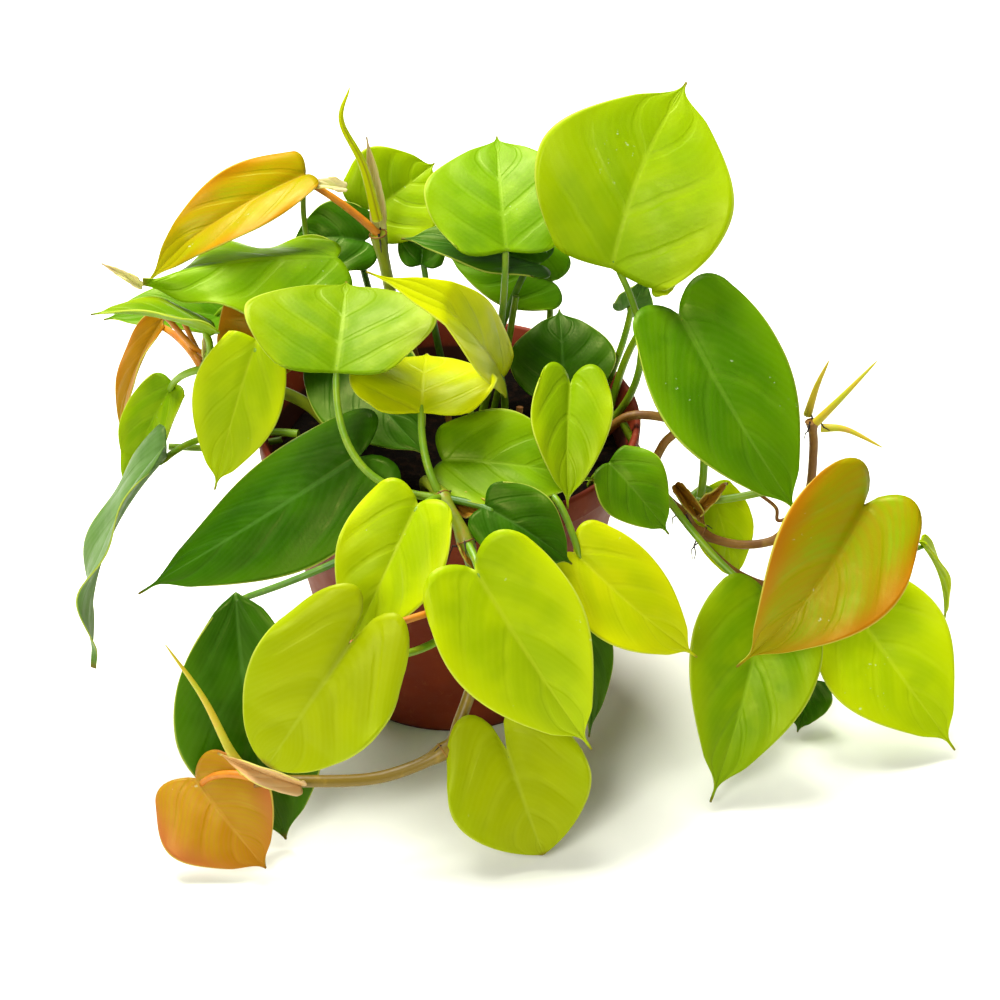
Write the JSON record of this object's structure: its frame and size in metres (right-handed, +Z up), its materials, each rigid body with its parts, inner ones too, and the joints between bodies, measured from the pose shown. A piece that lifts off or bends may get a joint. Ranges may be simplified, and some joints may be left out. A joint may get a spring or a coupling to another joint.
{
  "type": "potted philodendron",
  "caption": "Heart-leaf philodendron with trailing stems and lime, green and bronze leaves in a tapered round plastic nursery pot.",
  "frame": {"origin": "centre of the pot's flat base, where it stands", "axes": "+Z up the pot's axis, -Y towards the front, where the trailing stems hang"},
  "size_m": [0.276, 0.1818, 0.1961],
  "materials": {
    "leaf_bronze": "waxy young leaf",
    "leaf_deep_green": "waxy satin leaf",
    "leaf_green": "waxy satin leaf",
    "leaf_lime": "waxy satin leaf",
    "leaf_yellow_lime": "waxy satin leaf",
    "pot": "satin moulded plastic",
    "sheath": "thin satin sheath",
    "soil": "matte crumbly peat",
    "stem_brown": "dry matte stem",
    "stem_green": "satin stem"
  },
  "bodies": {
    "root": {"leaf_arched": "leaf_yellow_lime", "leaf_back_left_dark": "leaf_deep_green", "leaf_back_middle": "leaf_green", "leaf_back_right_dark": "leaf_deep_green", "leaf_behind_front": "leaf_deep_green", "leaf_behind_right_stems": "leaf_lime", "leaf_big_dark_left": "leaf_deep_green", "leaf_big_right": "leaf_green", "leaf_centre": "leaf_green", "leaf_crown_back_dark": "leaf_deep_green", "leaf_crown_back_left": "leaf_green", "leaf_crown_back_small": "leaf_deep_green", "leaf_crown_middle": "leaf_lime", "leaf_crown_right": "leaf_lime", "leaf_crown_small_right": "leaf_green", "leaf_cup_left": "leaf_lime", "leaf_dark_far_right": "leaf_deep_green", "leaf_dark_lower_left": "leaf_deep_green", "leaf_flat_yellow": "leaf_yellow_lime", "leaf_folded_lime": "leaf_lime", "leaf_front_big": "leaf_lime", "leaf_front_dark": "leaf_deep_green", "leaf_front_right": "leaf_yellow_lime", "leaf_front_yellow": "leaf_yellow_lime", "leaf_green_lower_right": "leaf_green", "leaf_hanging_left": "leaf_lime", "leaf_left_dark": "leaf_green", "leaf_left_edge_on": "leaf_lime", "leaf_lime_lower_right": "leaf_lime", "leaf_narrow_left": "leaf_lime", "leaf_olive_bottom": "leaf_yellow_lime", "leaf_olive_right": "leaf_green", "leaf_pale_narrow_right": "leaf_lime", "leaf_red_orange": "leaf_bronze", "leaf_round_lower_left": "leaf_lime", "leaf_small_orange": "leaf_bronze", "leaf_strap_far_left": "leaf_green", "leaf_under_cup": "leaf_deep_green", "leaf_wavy_left": "leaf_green", "leaf_young_behind": "leaf_bronze", "leaf_young_hanging": "leaf_bronze", "leaf_young_top_left": "leaf_bronze", "pot": "pot", "soil": "soil", "spike_back": "leaf_yellow_lime", "spike_front": "sheath", "spike_right_long": "sheath", "spike_right_low": "sheath", "spike_right_upright": "sheath", "vine_back": "stem_green", "vine_front": "stem_green", "vine_left": "stem_green", "vine_right": "stem_brown"}
  },
  "joints": []
}
